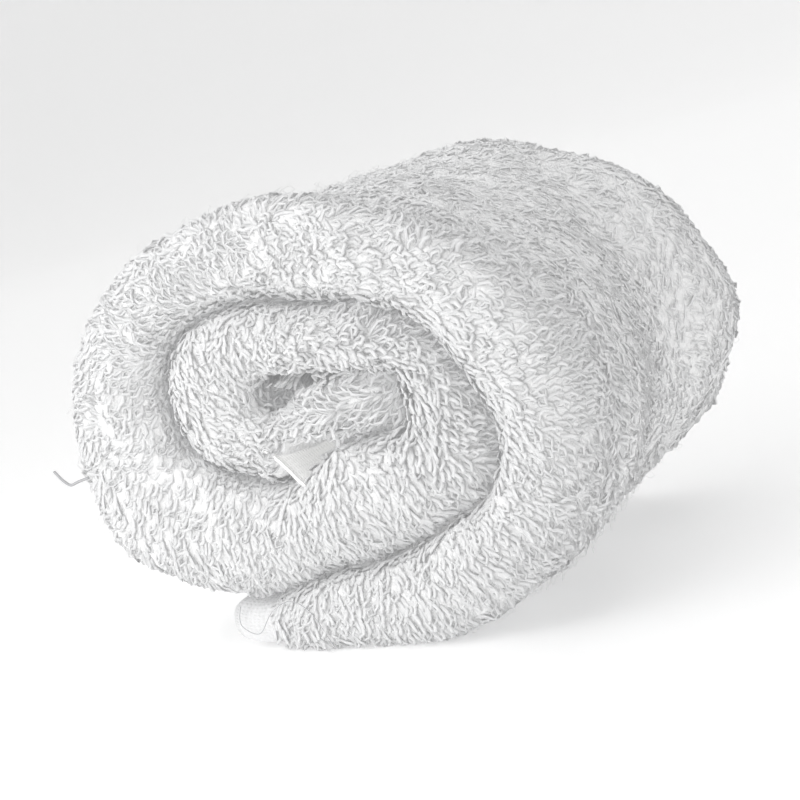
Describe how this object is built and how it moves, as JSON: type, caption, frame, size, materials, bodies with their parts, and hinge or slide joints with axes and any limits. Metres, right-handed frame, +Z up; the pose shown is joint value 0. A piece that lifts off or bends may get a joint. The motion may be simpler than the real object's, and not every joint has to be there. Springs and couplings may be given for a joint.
{
  "type": "rolled hand towel",
  "caption": "White terry hand towel folded lengthwise into a thick band and rolled into a wide oval roll with an open eye and a short loose tail.",
  "frame": {"origin": "centre of the footprint, on the surface that the roll rests on", "axes": "+X to the right as seen from the near end, +Y along the roll from the near end to the loose far end, +Z up"},
  "size_m": [0.1432, 0.1094, 0.1035],
  "materials": {
    "terry": "white cotton terry, looped pile on both faces"
  },
  "bodies": {
    "root": {"towel_roll": "terry"}
  },
  "joints": []
}
